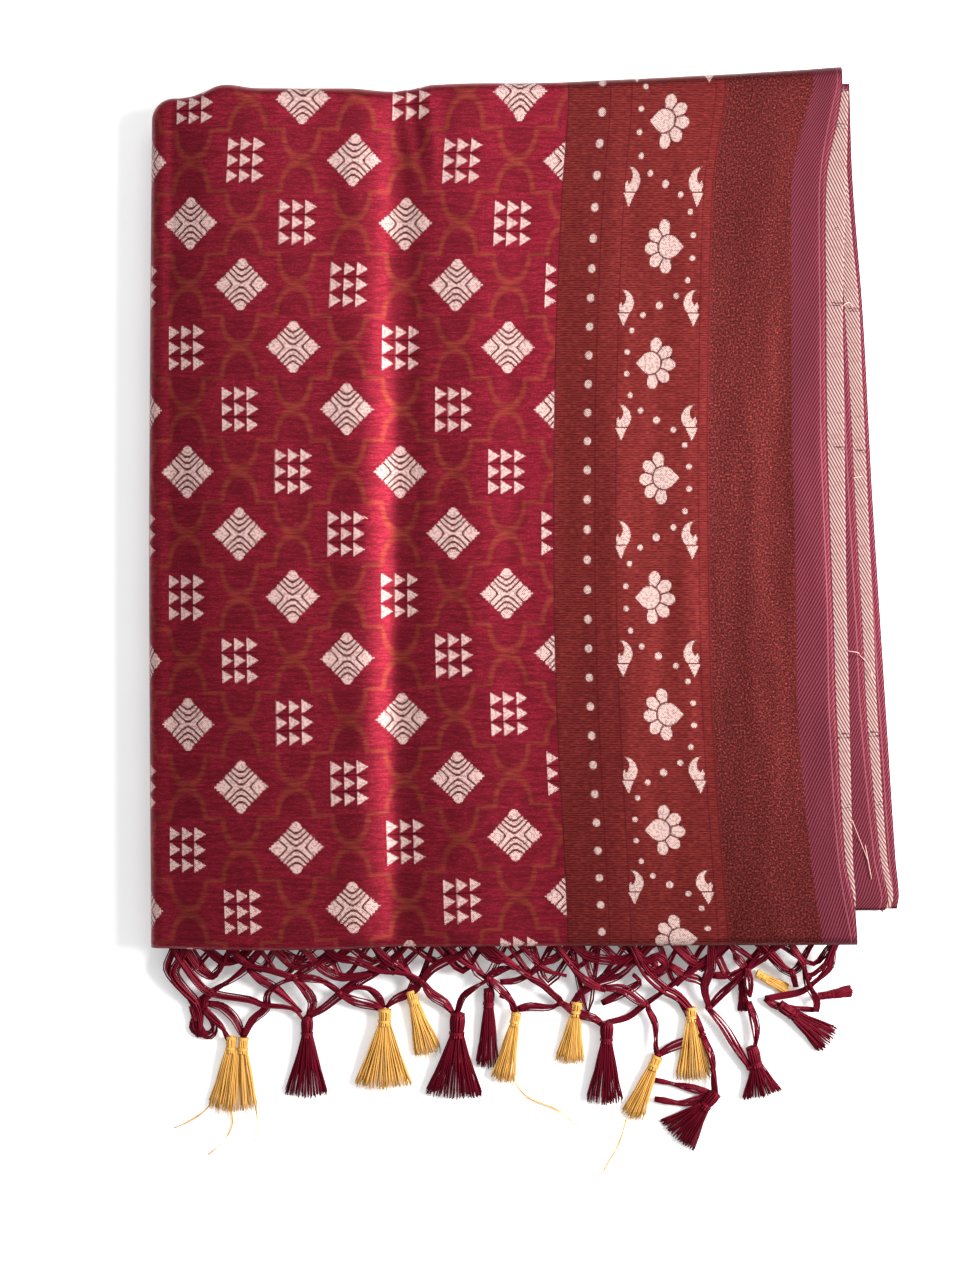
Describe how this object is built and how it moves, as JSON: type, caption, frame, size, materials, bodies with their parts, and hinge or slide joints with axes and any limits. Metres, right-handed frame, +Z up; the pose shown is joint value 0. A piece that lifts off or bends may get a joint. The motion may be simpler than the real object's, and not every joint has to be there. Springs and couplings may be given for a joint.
{
  "type": "banarasi sari folded flat with a tasselled fringe",
  "caption": "Maroon brocade sari folded into a flat pile, with a zari border, pale woven motifs and a knotted tassel fringe at its lower edge.",
  "frame": {"origin": "middle of the sari's box, on the surface that it lies on", "axes": "+Z up from the surface, +Y from the fringe towards the top fold, +X towards the selvedge side"},
  "size_m": [0.302, 0.4514, 0.0237],
  "materials": {
    "right_side": "satin brocade, right side, maroon with copper and pale zari figures",
    "wrong_side": "brocade wrong side, pale floats with dark diagonal twill",
    "hidden_cloth": "edges of the folded layers, maroon with pale lines",
    "maroon_thread": "loose silky maroon thread, twisted and knotted",
    "gold_thread": "loose silky golden yellow thread with pale ends"
  },
  "bodies": {
    "root": {"top_panel": "right_side", "second_stretch": "wrong_side", "third_stretch": "right_side", "fourth_stretch": "wrong_side", "fifth_stretch": "right_side", "hidden_layers": "hidden_cloth", "fringe_net": "maroon_thread", "tassel_01": "maroon_thread", "tassel_02": "gold_thread", "tassel_03": "maroon_thread", "tassel_04": "gold_thread", "tassel_05": "gold_thread", "tassel_06": "maroon_thread", "tassel_07": "maroon_thread", "tassel_08": "gold_thread", "tassel_09": "gold_thread", "tassel_10": "maroon_thread", "tassel_11": "gold_thread", "tassel_12": "gold_thread", "tassel_13": "maroon_thread", "tassel_14": "maroon_thread", "tassel_15": "maroon_thread", "tassel_16": "maroon_thread", "tassel_17": "gold_thread", "tassel_18": "maroon_thread"}
  },
  "joints": []
}
